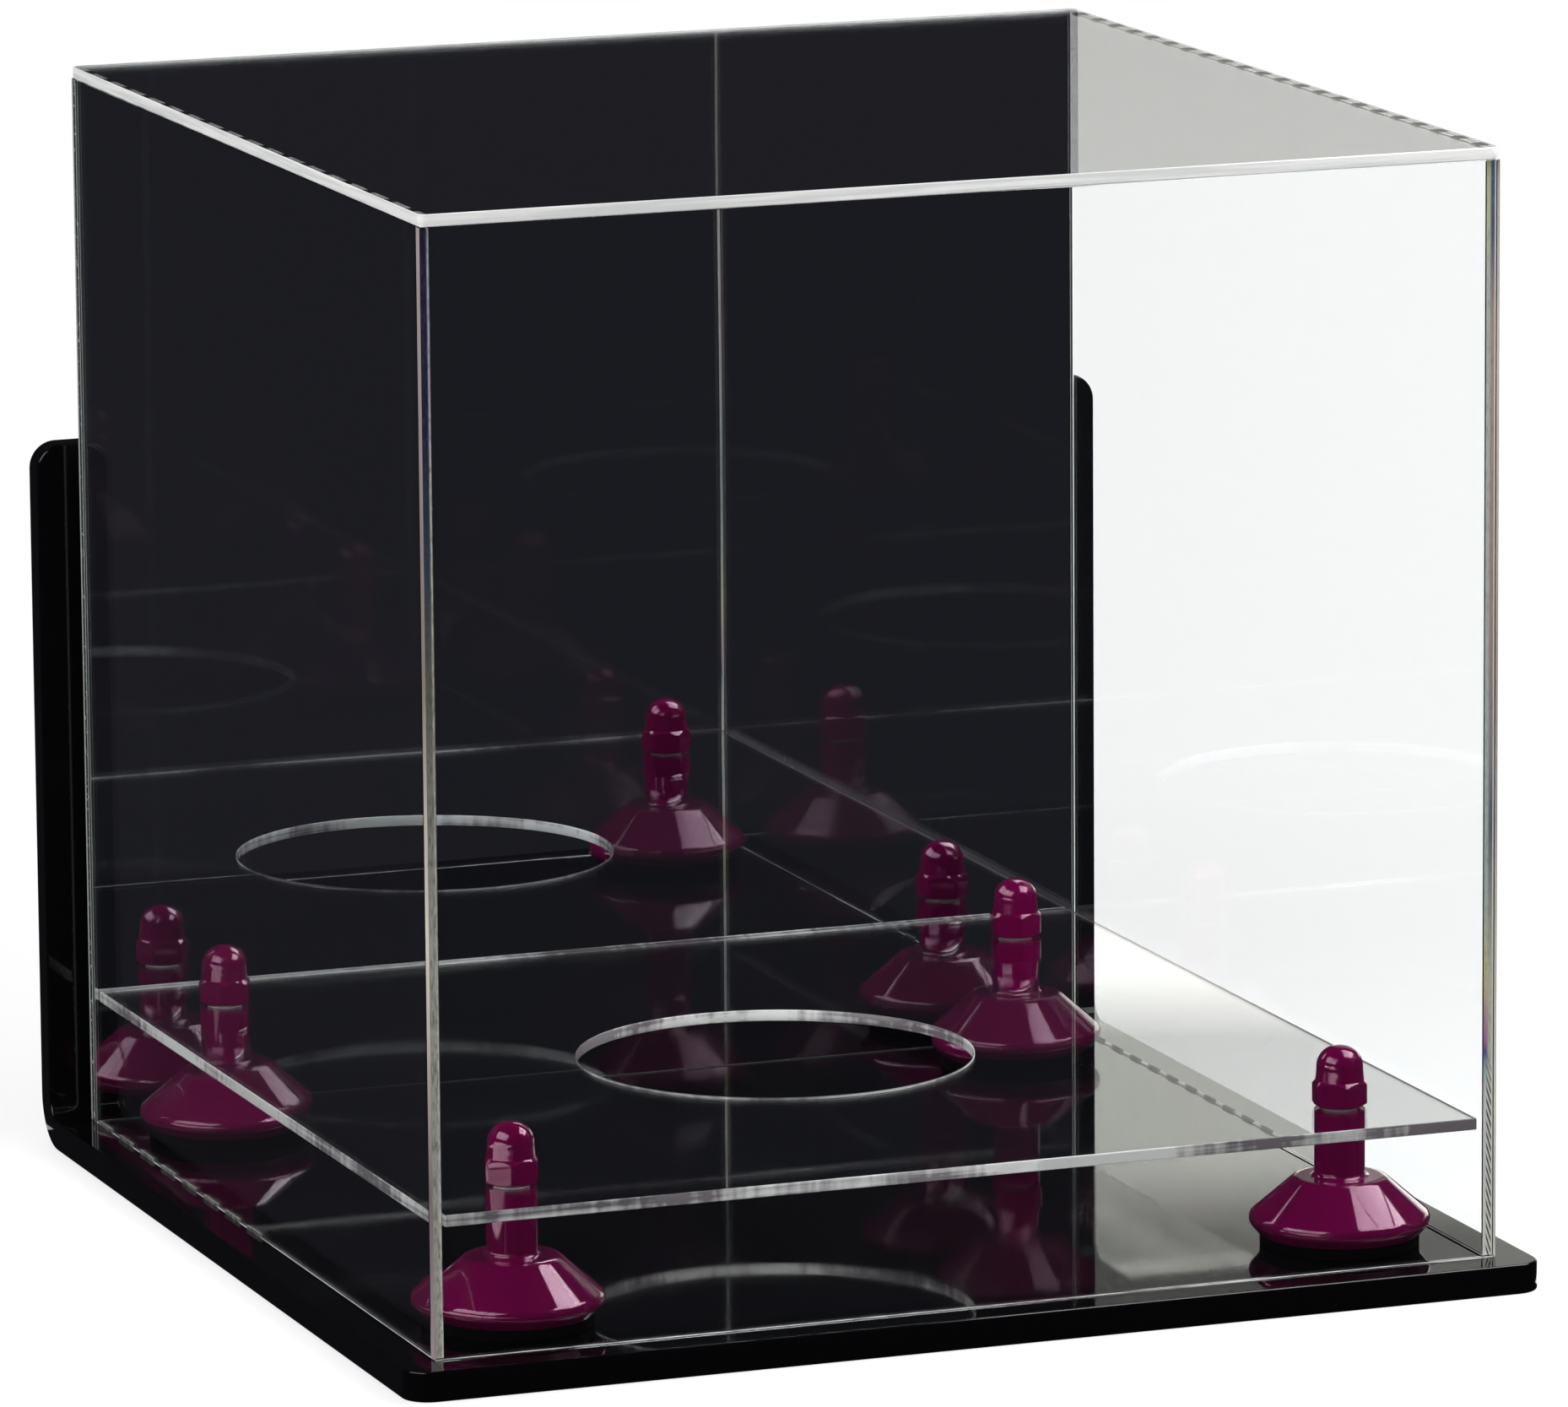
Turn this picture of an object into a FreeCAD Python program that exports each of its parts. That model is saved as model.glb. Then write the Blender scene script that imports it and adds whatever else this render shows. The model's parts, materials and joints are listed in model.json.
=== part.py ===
"""Ball display case: a lift-off clear cover with a mirrored back, over a clear shelf on four bell risers,
on a black base that bends up into a wall plate.

Millimetres, +Z up, front towards -Y. The origin is on the base's underside, at the middle of its footprint.
"""
import FreeCAD, Part
import math
import os

import Sketcher

# Driving sizes: name, value in mm (degrees for the turns), what it is.
SIZES = (
    ("cover_width", 279.4, "outside of the cover, left to right"),
    ("cover_depth", 279.4, "outside of the cover, front to back"),
    ("cover_height", 279.4, "outside of the cover, from the base's top"),
    ("cover_wall", 3.0, "clear sheet of the cover"),
    ("mirror_sheet", 3.0, "mirrored sheet of the cover's back"),
    ("cover_corner", 1.2, "plan radius of the top sheet's corners"),
    ("sheet_ease", 0.3, "eased edges of the clear sheets"),
    ("base_margin", 9.5, "base beyond the cover, at the front and sides"),
    ("base_sheet", 7.6, "black sheet of the base and wall plate"),
    ("bend_radius", 5.5, "inside of the bend"),
    ("back_gap", 0.4, "cover's back to the start of the bend"),
    ("wall_rise", 179.5, "wall plate above the base's top"),
    ("plate_corner", 7.0, "plan radius of the base's and wall plate's corners"),
    ("base_ease", 0.6, "eased edges of the black sheet"),
    ("wall_hole", 5.0, "wall screw hole"),
    ("wall_hole_head", 9.6, "wall screw countersink"),
    ("wall_hole_span", 203.2, "wall screws, side to side"),
    ("wall_hole_pitch", 76.2, "wall screws, row to row"),
    ("wall_hole_drop", 40.0, "upper wall screws below the plate's top"),
    ("shelf_sheet", 3.0, "clear sheet of the shelf"),
    ("shelf_gap", 1.0, "shelf to the cover, all round"),
    ("shelf_corner", 1.0, "plan radius of the shelf's corners"),
    ("ball_hole", 101.6, "hole in the shelf that the ball sits in"),
    ("riser_inset", 30.0, "riser's axis from the cover's outside"),
    ("pad_thickness", 3.2, "rubber pad under a bell"),
    ("pad_diameter", 40.0, "rubber pad under a bell"),
    ("pad_ease", 0.5, "rounded edges of the pad"),
    ("bell_foot", 40.8, "bell where it sits on its pad"),
    ("bell_diameter", 45.4, "widest part of the bell"),
    ("bell_rim_low", 2.6, "underside of the bell's rim above the pad"),
    ("bell_rim_high", 4.6, "top of the bell's rim above the pad"),
    ("bell_rim_round", 2.2, "rounding of the bell's rim"),
    ("bell_shoulder", 23.2, "flat top of the bell"),
    ("bell_height", 14.3, "bell above its pad"),
    ("bell_shoulder_round", 3.0, "rounding of the bell's shoulder"),
    ("stem_diameter", 12.7, "stem above the bell"),
    ("stem_length", 14.8, "stem from the bell to the shelf"),
    ("stem_foot_round", 1.2, "fillet at the foot of the stem"),
    ("nut_flats", 12.7, "cap nut across its flats"),
    ("nut_corners", 14.1, "cap nut across its rounded corners"),
    ("nut_bearing", 11.0, "cap nut's face on the shelf"),
    ("nut_bevel", 1.0, "height of the bevels at both ends of the hexagon"),
    ("nut_hex_height", 6.7, "height of the hexagon"),
    ("dome_foot", 12.2, "dome where it leaves the hexagon"),
    ("dome_tip", 11.7, "dome where its round end starts"),
    ("dome_flat", 1.2, "flat left at the very tip of the dome"),
    ("nut_height", 15.4, "cap nut, shelf to tip"),
    ("nut_bore_depth", 10.5, "threaded bore of the cap nut"),
    ("nut_turn_front_left", 15.0, "turn of each cap nut about its screw"),
    ("nut_turn_front_right", 21.0, "turn of each cap nut about its screw"),
    ("nut_turn_rear_left", 6.0, "turn of each cap nut about its screw"),
    ("nut_turn_rear_right", 20.0, "turn of each cap nut about its screw"),
    ("screw_diameter", 8.0, "riser screw"),
    ("screw_head", 15.6, "countersunk head of the riser screw"),
    ("screw_head_edge", 0.4, "rim of the countersunk head"),
    ("screw_recess", 0.3, "head below the base's underside"),
    ("screw_grip", 9.0, "screw's length inside the cap nut"),
    ("screw_point", 1.0, "bevel at the screw's end"),
    ("screw_socket", 5.0, "hexagon socket across its flats"),
    ("screw_socket_depth", 3.0, "depth of the hexagon socket"),
    ("screw_clearance", 0.25, "room all round the screw in what it passes through"),
    ("thread_clearance", 0.1, "room all round the screw in the nut"),
)

# Lengths that several pieces share, as expressions on the sheet.
BEHIND_COVER = "(Sizes.back_gap + Sizes.bend_radius + Sizes.base_sheet)"
CASE_Y = f"((Sizes.base_margin - {BEHIND_COVER}) / 2)"
BASE_WIDTH = "(Sizes.cover_width + 2 * Sizes.base_margin)"
BASE_DEPTH = f"(Sizes.cover_depth + Sizes.base_margin + {BEHIND_COVER})"
PLATE_TOP = "(Sizes.base_sheet + Sizes.wall_rise)"
WALL_HEIGHT = "(Sizes.cover_height - Sizes.cover_wall)"
RISER_X = "(Sizes.cover_width / 2 - Sizes.riser_inset)"
RISER_Y = "(Sizes.cover_depth / 2 - Sizes.riser_inset)"
RISER_TOP = "(Sizes.bell_height + Sizes.stem_length)"
SHELF_UNDER = f"(Sizes.base_sheet + Sizes.pad_thickness + {RISER_TOP})"
SHELF_TOP = f"({SHELF_UNDER} + Sizes.shelf_sheet)"
SCREW_HOLE_R = "(Sizes.screw_diameter / 2 + Sizes.screw_clearance)"
SCREW_END = f"({SHELF_TOP} + Sizes.screw_grip)"
HEAD_CONE = "((Sizes.screw_head - Sizes.screw_diameter) / 2)"
HEAD_SINK = f"({HEAD_CONE} + Sizes.screw_head_edge + Sizes.screw_recess - Sizes.screw_clearance)"

# Name of each corner, then which side of the middle it is on.
CORNERS = (
    ("front_left", -1, -1),
    ("front_right", 1, -1),
    ("rear_left", -1, 1),
    ("rear_right", 1, 1),
)

NEAR = 1e-4

doc = FreeCAD.newDocument("ball_display_case")
sheet = doc.addObject("Spreadsheet::Sheet", "Sizes")
for row, (name, value, note) in enumerate(SIZES, start=1):
    sheet.set(f"A{row}", note)
    sheet.set(f"B{row}", str(value))
    sheet.setAlias(f"B{row}", name)
doc.recompute()


def size(name):
    """A driving size as a plain number."""
    return float(sheet.get(name))


def new_body(label):
    """An empty body whose label names its file."""
    body = doc.addObject("PartDesign::Body", label)
    body.Label = label
    return body


def place(body, x="0", y="0", z="0"):
    """Ties a body's place to the sheet."""
    for axis, expression in zip("xyz", (x, y, z)):
        body.setExpression(f"Placement.Base.{axis}", expression)


def new_sketch(body, name, plane="XY_Plane", height="0"):
    """A sketch on one of the body's own origin planes, moved along that plane's normal."""
    sketch = body.newObject("Sketcher::SketchObject", name)
    support = [part for part in body.Origin.OriginFeatures if part.Role == plane][0]
    sketch.AttachmentSupport = [(support, "")]
    sketch.MapMode = "FlatFace"
    sketch.setExpression("AttachmentOffset.Base.z", height)
    return sketch


def tie_point(sketch, line, x, y):
    """Ties a line's start to the sketch's origin by two expressions."""
    for kind, expression in (("DistanceX", x), ("DistanceY", y)):
        number = sketch.addConstraint(Sketcher.Constraint(kind, -1, 1, line, 1, 1.0))
        sketch.setExpression(f"Constraints[{number}]", expression)


def add_outline(sketch, points):
    """A closed outline of straight lines through points given as pairs of expressions."""
    count = len(points)
    first = sketch.GeometryCount
    ring = [FreeCAD.Vector(math.cos(math.tau * i / count), math.sin(math.tau * i / count), 0)
            for i in range(count)]
    for i in range(count):
        sketch.addGeometry(Part.LineSegment(ring[i], ring[(i + 1) % count]), False)
    for i in range(count):
        sketch.addConstraint(Sketcher.Constraint("Coincident", first + i, 2, first + (i + 1) % count, 1))
    for i, (x, y) in enumerate(points):
        tie_point(sketch, first + i, x, y)


def add_rectangle(sketch, width, height):
    """A rectangle about the sketch's origin."""
    right, top = f"{width} / 2", f"{height} / 2"
    add_outline(sketch, ((f"-{right}", f"-{top}"), (right, f"-{top}"), (right, top), (f"-{right}", top)))


def add_circle(sketch, radius, x="0", y="0"):
    """A circle by its radius and the place of its middle."""
    circle = sketch.addGeometry(Part.Circle(FreeCAD.Vector(0, 0, 0), FreeCAD.Vector(0, 0, 1), 1.0), False)
    number = sketch.addConstraint(Sketcher.Constraint("Radius", circle, 1.0))
    sketch.setExpression(f"Constraints[{number}]", radius)
    for kind, expression in (("DistanceX", x), ("DistanceY", y)):
        number = sketch.addConstraint(Sketcher.Constraint(kind, -1, 1, circle, 3, 1.0))
        sketch.setExpression(f"Constraints[{number}]", expression)


def add_hexagon(sketch, flats):
    """A hexagon across its flats, with two corners on the sketch's X axis."""
    corner, half, top = f"{flats} / sqrt(3)", f"{flats} / sqrt(3) / 2", f"{flats} / 2"
    add_outline(sketch, ((corner, "0"), (half, top), (f"-{half}", top),
                         (f"-{corner}", "0"), (f"-{half}", f"-{top}"), (half, f"-{top}")))


def pad(body, sketch, length, symmetric=False):
    """Extrudes a sketch along its normal, or both ways from its plane."""
    feature = body.newObject("PartDesign::Pad", f"{sketch.Name}_pad")
    feature.Profile = sketch
    if symmetric:
        feature.SideType = "Symmetric"
    feature.setExpression("Length", length)
    doc.recompute()
    return feature


def revolve(body, sketch):
    """Turns a sketch on the XZ plane about the body's Z axis."""
    feature = body.newObject("PartDesign::Revolution", f"{sketch.Name}_revolution")
    feature.Profile = sketch
    feature.ReferenceAxis = (sketch, ["V_Axis"])
    feature.Angle = 360.0
    doc.recompute()
    return feature


def pocket(body, sketch, length, towards_normal):
    """Cuts a sketch into the body and makes sure that something was cut."""
    before = body.Shape.Volume
    feature = body.newObject("PartDesign::Pocket", f"{sketch.Name}_pocket")
    feature.Profile = sketch
    feature.Reversed = towards_normal
    feature.setExpression("Length", length)
    doc.recompute()
    if not feature.Shape.Volume < before - NEAR:
        raise RuntimeError(f"{feature.Name} cuts nothing")
    return feature


def dress(body, kind, wanted, **settings):
    """A Fillet or Chamfer, its size tied to the sheet, on the edges of the tip that wanted() accepts."""
    tip = body.Tip
    names = [f"Edge{i}" for i, edge in enumerate(tip.Shape.Edges, start=1) if wanted(edge)]
    if not names:
        raise RuntimeError(f"{body.Label}: no edge for a {kind}")
    feature = body.newObject(f"PartDesign::{kind}", f"{body.Name}_{kind}")
    feature.Base = (tip, names)
    for setting, expression in settings.items():
        feature.setExpression(setting, expression)
    doc.recompute()
    return feature


def along(edge, direction):
    """True if a straight edge runs along a direction."""
    if edge.Curve.TypeId != "Part::GeomLine":
        return False
    return abs(abs(edge.tangentAt(edge.FirstParameter).dot(direction)) - 1) < NEAR


def ring_at(radius, z):
    """A test for the round edge about the Z axis with this radius at this height."""
    def wanted(edge):
        if edge.Curve.TypeId != "Part::GeomCircle":
            return False
        return abs(edge.Curve.Radius - radius) < NEAR and abs(edge.Curve.Center.z - z) < NEAR
    return wanted


def hole_rim(radius, axis, level):
    """A test for the rim of any hole of this radius, where it opens at a level along x, y or z."""
    def wanted(edge):
        if edge.Curve.TypeId != "Part::GeomCircle" or abs(edge.Curve.Radius - radius) > NEAR:
            return False
        box = edge.BoundBox
        low, high = getattr(box, f"{axis}Min"), getattr(box, f"{axis}Max")
        return abs(low - level) < NEAR and abs(high - level) < NEAR
    return wanted


X_AXIS = FreeCAD.Vector(1, 0, 0)
Y_AXIS = FreeCAD.Vector(0, 1, 0)
Z_AXIS = FreeCAD.Vector(0, 0, 1)


def make_base(label):
    """Black sheet bent once: the base the case stands on and the plate that goes on the wall."""
    body = new_body(label)
    front, back = f"-{BASE_DEPTH} / 2", f"{BASE_DEPTH} / 2"
    plate_front = f"{BASE_DEPTH} / 2 - Sizes.base_sheet"
    side = new_sketch(body, "base_side", "YZ_Plane")
    add_outline(side, ((front, "0"), (back, "0"), (back, PLATE_TOP), (plate_front, PLATE_TOP),
                       (plate_front, "Sizes.base_sheet"), (front, "Sizes.base_sheet")))
    pad(body, side, BASE_WIDTH, symmetric=True)

    depth = body.Shape.BoundBox.YLength
    thick, top = size("base_sheet"), size("base_sheet") + size("wall_rise")
    plate_front_y = depth / 2 - thick

    def at(edge, y, z):
        middle = edge.CenterOfMass
        return abs(middle.y - y) < NEAR and abs(middle.z - z) < NEAR

    dress(body, "Fillet", lambda edge: along(edge, X_AXIS) and at(edge, depth / 2, 0),
          Radius="Sizes.bend_radius + Sizes.base_sheet")
    dress(body, "Fillet", lambda edge: along(edge, X_AXIS) and at(edge, plate_front_y, thick),
          Radius="Sizes.bend_radius")
    dress(body, "Fillet", lambda edge: (along(edge, Z_AXIS) and at(edge, -depth / 2, thick / 2))
          or (along(edge, Y_AXIS) and at(edge, depth / 2 - thick / 2, top)),
          Radius="Sizes.plate_corner")
    dress(body, "Fillet", lambda edge: along(edge, X_AXIS)
          and (at(edge, -depth / 2, 0) or at(edge, -depth / 2, thick)),
          Radius="Sizes.base_ease")

    screws = new_sketch(body, "base_screw_holes")
    for _, x_side, y_side in CORNERS:
        add_circle(screws, SCREW_HOLE_R, f"{x_side} * {RISER_X}", f"{CASE_Y} + {y_side} * {RISER_Y}")
    pocket(body, screws, "Sizes.base_sheet", True)
    screw_r = size("screw_diameter") / 2 + size("screw_clearance")
    dress(body, "Chamfer", hole_rim(screw_r, "Z", 0), Size=HEAD_SINK)

    walls = new_sketch(body, "base_wall_holes", "XZ_Plane", f"-({BASE_DEPTH} / 2)")
    upper = f"{PLATE_TOP} - Sizes.wall_hole_drop"
    for x_side in (-1, 1):
        for row in (0, 1):
            add_circle(walls, "Sizes.wall_hole / 2", f"{x_side} * Sizes.wall_hole_span / 2",
                       f"{upper} - {row} * Sizes.wall_hole_pitch")
    pocket(body, walls, "Sizes.base_sheet", True)
    dress(body, "Chamfer", hole_rim(size("wall_hole") / 2, "Y", plate_front_y),
          Size="(Sizes.wall_hole_head - Sizes.wall_hole) / 2")
    return body


def make_shelf(label):
    """Clear sheet that the ball sits in, held down on the risers by the cap nuts."""
    body = new_body(label)
    outline = new_sketch(body, "shelf_outline")
    add_rectangle(outline, "(Sizes.cover_width - 2 * Sizes.cover_wall - 2 * Sizes.shelf_gap)",
                  "(Sizes.cover_depth - Sizes.cover_wall - Sizes.mirror_sheet - 2 * Sizes.shelf_gap)")
    add_circle(outline, "Sizes.ball_hole / 2")
    middle = "(Sizes.cover_wall - Sizes.mirror_sheet) / 2"
    for _, x_side, y_side in CORNERS:
        add_circle(outline, SCREW_HOLE_R, f"{x_side} * {RISER_X}", f"{y_side} * {RISER_Y} - {middle}")
    pad(body, outline, "Sizes.shelf_sheet")
    dress(body, "Fillet", lambda edge: along(edge, Z_AXIS), Radius="Sizes.shelf_corner")
    levels = (0, size("shelf_sheet"))
    hole_rims = [hole_rim(size("ball_hole") / 2, "Z", level) for level in levels]
    dress(body, "Chamfer", lambda edge: along(edge, X_AXIS) or any(rim(edge) for rim in hole_rims),
          Size="Sizes.sheet_ease")
    place(body, y=f"{CASE_Y} + {middle}", z=SHELF_UNDER)
    return body


def make_panel(label, width, depth, height, x="0", y="0", z="Sizes.base_sheet"):
    """A flat sheet of the cover, by its size and the place of the middle of its underside."""
    body = new_body(label)
    outline = new_sketch(body, f"{label}_outline")
    add_rectangle(outline, width, depth)
    pad(body, outline, height)
    place(body, x, y, z)
    return body


def make_cover():
    """Five sheets bonded edge to face: the front and the mirror run the full width, the sides stand between
    them, and the top lies on all four."""
    between = "(Sizes.cover_depth - Sizes.cover_wall - Sizes.mirror_sheet)"
    side_x = "(Sizes.cover_width / 2 - Sizes.cover_wall / 2)"
    side_y = f"{CASE_Y} + (Sizes.cover_wall - Sizes.mirror_sheet) / 2"
    front = make_panel("cover_front", "Sizes.cover_width", "Sizes.cover_wall", WALL_HEIGHT,
                       y=f"{CASE_Y} - Sizes.cover_depth / 2 + Sizes.cover_wall / 2")
    mirror = make_panel("mirror_back_panel", "Sizes.cover_width", "Sizes.mirror_sheet", WALL_HEIGHT,
                        y=f"{CASE_Y} + Sizes.cover_depth / 2 - Sizes.mirror_sheet / 2")
    left = make_panel("cover_left", "Sizes.cover_wall", between, WALL_HEIGHT, x=f"-{side_x}", y=side_y)
    right = make_panel("cover_right", "Sizes.cover_wall", between, WALL_HEIGHT, x=side_x, y=side_y)
    top = make_panel("cover_top", "Sizes.cover_width", "Sizes.cover_depth", "Sizes.cover_wall",
                     y=CASE_Y, z=f"Sizes.base_sheet + {WALL_HEIGHT}")

    half_width = size("cover_width") / 2
    for wall, outer in ((front, -size("cover_wall") / 2), (mirror, size("mirror_sheet") / 2)):
        dress(wall, "Chamfer", lambda edge: along(edge, Z_AXIS)
              and abs(edge.CenterOfMass.y - outer) < NEAR and abs(edge.CenterOfMass.x) > half_width - NEAR,
              Size="Sizes.sheet_ease")
    dress(top, "Fillet", lambda edge: along(edge, Z_AXIS), Radius="Sizes.cover_corner")
    upper = size("cover_wall")
    dress(top, "Chamfer", lambda edge: along(edge, X_AXIS) and abs(edge.CenterOfMass.z - upper) < NEAR,
          Size="Sizes.sheet_ease")
    return [top, front, left, right, mirror]


def make_pad(label, x, y):
    """Rubber disc between a bell and the base."""
    body = new_body(label)
    disc = new_sketch(body, f"{label}_disc")
    add_circle(disc, "Sizes.pad_diameter / 2")
    add_circle(disc, SCREW_HOLE_R)
    pad(body, disc, "Sizes.pad_thickness")
    rims = [ring_at(size("pad_diameter") / 2, z) for z in (0, size("pad_thickness"))]
    dress(body, "Fillet", lambda edge: any(rim(edge) for rim in rims), Radius="Sizes.pad_ease")
    place(body, x, y, "Sizes.base_sheet")
    return body


def make_riser(label, x, y):
    """Bell and stem in one turned piece, bored through for the screw."""
    body = new_body(label)
    half = new_sketch(body, f"{label}_half", "XZ_Plane")
    stem_r = "Sizes.stem_diameter / 2"
    rim_r = "Sizes.bell_diameter / 2"
    add_outline(half, ((SCREW_HOLE_R, "0"), ("Sizes.bell_foot / 2", "0"), (rim_r, "Sizes.bell_rim_low"),
                       (rim_r, "Sizes.bell_rim_high"), ("Sizes.bell_shoulder / 2", "Sizes.bell_height"),
                       (stem_r, "Sizes.bell_height"), (stem_r, RISER_TOP), (SCREW_HOLE_R, RISER_TOP)))
    revolve(body, half)
    rims = [ring_at(size("bell_diameter") / 2, size(name)) for name in ("bell_rim_low", "bell_rim_high")]
    shoulder = ring_at(size("bell_shoulder") / 2, size("bell_height"))
    foot = ring_at(size("stem_diameter") / 2, size("bell_height"))
    dress(body, "Fillet", rims[0], Radius="Sizes.bell_rim_round")
    dress(body, "Fillet", rims[1], Radius="Sizes.bell_rim_round")
    dress(body, "Fillet", shoulder, Radius="Sizes.bell_shoulder_round")
    dress(body, "Fillet", foot, Radius="Sizes.stem_foot_round")
    place(body, x, y, "Sizes.base_sheet + Sizes.pad_thickness")
    return body


def make_cap_nut(label, x, y, turn):
    """Acorn nut: a bevelled hexagon under a closed dome, with a blind bore."""
    body = new_body(label)
    half = new_sketch(body, f"{label}_half", "XZ_Plane")
    bore = "(Sizes.screw_diameter / 2 + Sizes.thread_clearance)"
    corner = "Sizes.nut_corners / 2"
    dome_side = "(Sizes.nut_height - Sizes.dome_tip / 2)"
    add_outline(half, ((bore, "0"), ("Sizes.nut_bearing / 2", "0"), (corner, "Sizes.nut_bevel"),
                       (corner, "Sizes.nut_hex_height - Sizes.nut_bevel"),
                       ("Sizes.dome_foot / 2", "Sizes.nut_hex_height"), ("Sizes.dome_tip / 2", dome_side),
                       ("Sizes.dome_tip / 2", "Sizes.nut_height"), ("0", "Sizes.nut_height"),
                       ("0", f"Sizes.nut_bore_depth + {bore} / 2"), (bore, "Sizes.nut_bore_depth")))
    revolve(body, half)
    tip_edge = ring_at(size("dome_tip") / 2, size("nut_height"))
    dress(body, "Fillet", tip_edge, Radius="(Sizes.dome_tip - Sizes.dome_flat) / 2")
    flats = new_sketch(body, f"{label}_flats")
    add_circle(flats, "Sizes.nut_corners")
    add_hexagon(flats, "Sizes.nut_flats")
    pocket(body, flats, "Sizes.nut_height", True)
    body.Placement = FreeCAD.Placement(FreeCAD.Vector(), FreeCAD.Rotation(Z_AXIS, 1.0))
    body.setExpression("Placement.Rotation.Angle", turn)
    place(body, x, y, SHELF_TOP)
    return body


def make_screw(label, x, y):
    """Countersunk socket screw from under the base up into the cap nut."""
    body = new_body(label)
    half = new_sketch(body, f"{label}_half", "XZ_Plane")
    head, shank = "Sizes.screw_head / 2", "Sizes.screw_diameter / 2"
    length = f"({SCREW_END} - Sizes.screw_recess)"
    add_outline(half, (("0", "0"), (head, "0"), (head, "Sizes.screw_head_edge"),
                       (shank, f"Sizes.screw_head_edge + {HEAD_CONE}"),
                       (shank, f"{length} - Sizes.screw_point"),
                       (f"{shank} - Sizes.screw_point", length), ("0", length)))
    revolve(body, half)
    socket = new_sketch(body, f"{label}_socket")
    add_hexagon(socket, "Sizes.screw_socket")
    pocket(body, socket, "Sizes.screw_socket_depth", True)
    place(body, x, y, "Sizes.screw_recess")
    return body


def make_all():
    """Every piece, each in its own body."""
    pieces = [make_base("wall_mount_base"), make_shelf("display_shelf")]
    pieces += make_cover()
    for corner, x_side, y_side in CORNERS:
        x, y = f"{x_side} * {RISER_X}", f"{CASE_Y} + {y_side} * {RISER_Y}"
        pieces.append(make_pad(f"pad_{corner}", x, y))
        pieces.append(make_riser(f"riser_{corner}", x, y))
        pieces.append(make_cap_nut(f"cap_nut_{corner}", x, y, f"Sizes.nut_turn_{corner}"))
        pieces.append(make_screw(f"screw_{corner}", x, y))
    return pieces


def check(pieces):
    """Stops if any feature failed or any piece isn't one sound solid."""
    for item in doc.Objects:
        if "Invalid" in item.State or "Error" in item.State:
            raise RuntimeError(f"{item.Label} failed: {item.State}")
    for piece in pieces:
        shape = piece.Shape
        if shape.isNull() or not shape.isValid() or len(shape.Solids) != 1:
            raise RuntimeError(f"{piece.Label} isn't one sound solid")


pieces = make_all()
doc.recompute()
check(pieces)
os.makedirs("parts", exist_ok=True)
for piece in pieces:
    piece.Shape.exportStep(os.path.join("parts", f"{piece.Label}.step"))
    box = piece.Shape.optimalBoundingBox(False, False)
    print(f"{piece.Label}: {box.XLength:.1f} x {box.YLength:.1f} x {box.ZLength:.1f} mm")
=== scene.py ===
"""Ball display case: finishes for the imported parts, clear sheets with sawn edges, and a studio for them.

Metres, +Z up, front towards -Y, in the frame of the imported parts.
"""

import json
import math

import bmesh
import bpy
from mathutils import Matrix, Vector


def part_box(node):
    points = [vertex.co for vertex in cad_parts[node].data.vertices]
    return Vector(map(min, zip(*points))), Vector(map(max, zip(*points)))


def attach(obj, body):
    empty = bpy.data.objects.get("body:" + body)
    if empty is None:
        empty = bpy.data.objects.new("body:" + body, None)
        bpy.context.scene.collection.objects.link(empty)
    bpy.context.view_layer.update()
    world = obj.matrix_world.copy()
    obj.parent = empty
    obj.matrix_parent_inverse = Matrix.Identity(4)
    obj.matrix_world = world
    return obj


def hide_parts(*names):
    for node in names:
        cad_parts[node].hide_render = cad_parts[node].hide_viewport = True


bl_info = {
    "name": "Ball display case",
    "version": (1, 0, 0),
    "blender": (4, 5, 0),
    "location": "View3D > Sidebar > Display case",
    "description": "Finishes the parts of a ball display case and sets up its studio",
    "category": "Object",
}

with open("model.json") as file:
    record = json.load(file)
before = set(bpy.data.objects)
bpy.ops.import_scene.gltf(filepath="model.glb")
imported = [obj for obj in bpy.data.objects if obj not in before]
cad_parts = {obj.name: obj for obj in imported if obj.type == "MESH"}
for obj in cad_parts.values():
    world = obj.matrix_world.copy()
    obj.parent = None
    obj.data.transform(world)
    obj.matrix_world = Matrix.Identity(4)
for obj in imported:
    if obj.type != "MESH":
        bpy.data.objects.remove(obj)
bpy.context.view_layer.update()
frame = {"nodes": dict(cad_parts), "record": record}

MM = 0.001
CORNERS = ("front_left", "front_right", "rear_left", "rear_right")
CLEAR_IOR = 1.49


def linear(hex_colour):
    """An sRGB hex colour as linear red, green and blue."""
    parts = [int(hex_colour[i:i + 2], 16) / 255 for i in (1, 3, 5)]
    return [part / 12.92 if part <= 0.04045 else ((part + 0.055) / 1.055) ** 2.4 for part in parts]


WHITE = linear("#FFFFFF")


def add_node(tree, kind, inputs=None, stops=(), **settings):
    """Adds a node with its settings. Each input, by name or number, takes a value, a socket, or a node, and
    then follows that node's first output. A colour may come without its alpha. stops are the places and hex
    colours of a colour ramp, in order. A Mix node mixes colours."""
    node = tree.nodes.new(kind)
    for number, (place, hex_colour) in enumerate(stops):
        elements = node.color_ramp.elements
        element = elements[number] if number < 2 else elements.new(place)
        element.position = place
        element.color = (*linear(hex_colour), 1)
    if kind == "ShaderNodeMix":
        node.data_type = "RGBA"
    for name, value in settings.items():
        setattr(node, name, value)
    for key, value in (inputs or {}).items():
        socket = node.inputs[key]
        if isinstance(value, bpy.types.Node):
            value = next(output for output in value.outputs if output.enabled)
        if isinstance(value, bpy.types.NodeSocket):
            tree.links.new(value, socket)
        elif socket.type == "RGBA" and len(value) == 3:
            socket.default_value = (*value, 1)
        else:
            socket.default_value = value
    return node


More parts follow.
